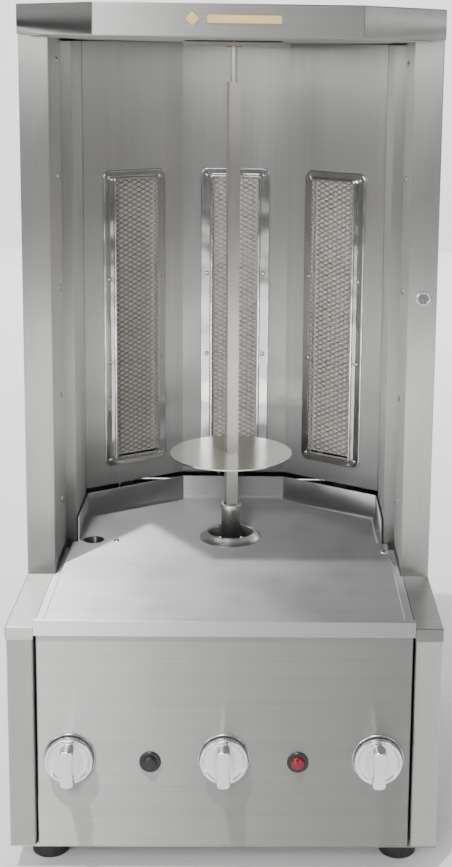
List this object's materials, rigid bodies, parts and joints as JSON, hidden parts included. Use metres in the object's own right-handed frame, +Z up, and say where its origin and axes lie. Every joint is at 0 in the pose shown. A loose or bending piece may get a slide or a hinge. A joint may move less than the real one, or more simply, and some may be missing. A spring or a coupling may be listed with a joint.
{
  "type": "vertical rotisserie broiler",
  "caption": "Counter-top gas broiler with a vertical turning spit, tall radiant burners on angled reflectors, a drip tray and front controls.",
  "frame": {"origin": "middle of the bounding box at the surface that the feet stand on", "axes": "+X to the right of someone facing the front, +Y to the back, +Z up"},
  "size_m": [0.4816, 0.6, 0.96],
  "materials": {
    "brushed": "brushed stainless sheet",
    "liner": "heat-dulled stainless sheet",
    "polished": "polished stainless",
    "mirror_steel": "mirror-polished stainless",
    "mesh": "expanded stainless mesh",
    "ceramic": "cream perforated ceramic",
    "iron": "cast, dull grey",
    "brass": "machined brass",
    "pipe": "drawn tube",
    "knob_chrome": "satin and bright chrome",
    "bezel": "dark chrome",
    "rubber": "black moulded rubber",
    "black_plastic": "black moulded plastic",
    "red_plastic": "red moulded plastic",
    "motor_paint": "dark grey paint",
    "electrode": "glazed ceramic and wire"
  },
  "bodies": {
    "housing": {"base_front_panel": "brushed", "right_base_side": "brushed", "left_base_side": "brushed", "base_side_caps": "brushed", "base_back_panel": "brushed", "base_bottom_plate": "brushed", "drip_tray": "brushed", "right_side_shell": "brushed", "left_side_shell": "brushed", "upper_back_panel": "brushed", "hood": "brushed", "hood_ceiling": "brushed", "top_bracket": "brushed", "motor_bracket": "brushed", "right_side_liner": "liner", "left_side_liner": "liner", "reflector_sheet": "liner", "tray_collar": "polished", "left_burner_frame": "polished", "centre_burner_frame": "polished", "right_burner_frame": "polished", "case_screws": "polished", "burner_frame_screws": "polished", "burner_meshes": "mesh", "burner_plaques": "ceramic", "left_burner_body": "iron", "centre_burner_body": "iron", "right_burner_body": "iron", "gas_jets": "brass", "gas_valve_bodies": "brass", "gas_inlet_fitting": "brass", "top_bush": "brass", "gas_supply_pipes": "pipe", "gas_manifold": "pipe", "knob_bezels": "bezel", "rubber_feet": "rubber", "post_plug": "rubber", "button_housings": "black_plastic", "cable_gland": "black_plastic", "ignition_module": "black_plastic", "gear_motor": "motor_paint", "spark_electrodes": "electrode"},
    "drive": {"motor_shaft": "polished", "drive_socket": "polished"},
    "spit": {"spit_bar": "polished", "plate_pin": "polished"},
    "plate": {"meat_plate": "mirror_steel"},
    "ignition_button": {"ignition_button": "black_plastic"},
    "motor_button": {"motor_button": "red_plastic"},
    "left_tap": {"left_valve_plug": "brass"},
    "left_knob": {"left_gas_knob": "knob_chrome", "left_valve_stem": "polished"},
    "centre_tap": {"centre_valve_plug": "brass"},
    "centre_knob": {"centre_gas_knob": "knob_chrome", "centre_valve_stem": "polished"},
    "right_tap": {"right_valve_plug": "brass"},
    "right_knob": {"right_gas_knob": "knob_chrome", "right_valve_stem": "polished"}
  },
  "joints": [
    {"name": "spit_turn", "type": "hinge", "parent": "housing", "child": "drive", "pos_m": [0, -0.003, 0.3], "axis": [0, 0, 1], "continuous": true},
    {"name": "spit_lift", "type": "slide", "parent": "drive", "child": "spit", "axis": [0, 0, 1], "range_m": [0, 0.026]},
    {"name": "plate_height", "type": "slide", "parent": "spit", "child": "plate", "axis": [0, 0, 1], "range_m": [0, 0.4]},
    {"name": "left_knob_turn", "type": "hinge", "parent": "housing", "child": "left_tap", "pos_m": [-0.171, -0.245, 0.1375], "axis": [0, -1, 0], "range_deg": [0, 180]},
    {"name": "left_knob_push", "type": "slide", "parent": "left_tap", "child": "left_knob", "axis": [0, 1, 0], "range_m": [0, 0.003], "stiffness_N_per_m": 800},
    {"name": "centre_knob_turn", "type": "hinge", "parent": "housing", "child": "centre_tap", "pos_m": [0, -0.245, 0.1375], "axis": [0, -1, 0], "range_deg": [0, 180]},
    {"name": "centre_knob_push", "type": "slide", "parent": "centre_tap", "child": "centre_knob", "axis": [0, 1, 0], "range_m": [0, 0.003], "stiffness_N_per_m": 800},
    {"name": "right_knob_turn", "type": "hinge", "parent": "housing", "child": "right_tap", "pos_m": [0.171, -0.245, 0.1375], "axis": [0, -1, 0], "range_deg": [0, 180]},
    {"name": "right_knob_push", "type": "slide", "parent": "right_tap", "child": "right_knob", "axis": [0, 1, 0], "range_m": [0, 0.003], "stiffness_N_per_m": 800},
    {"name": "ignition_button_press", "type": "slide", "parent": "housing", "child": "ignition_button", "axis": [0, 1, 0], "range_m": [0, 0.003], "stiffness_N_per_m": 500},
    {"name": "motor_button_press", "type": "slide", "parent": "housing", "child": "motor_button", "axis": [0, 1, 0], "range_m": [0, 0.003], "stiffness_N_per_m": 500}
  ]
}
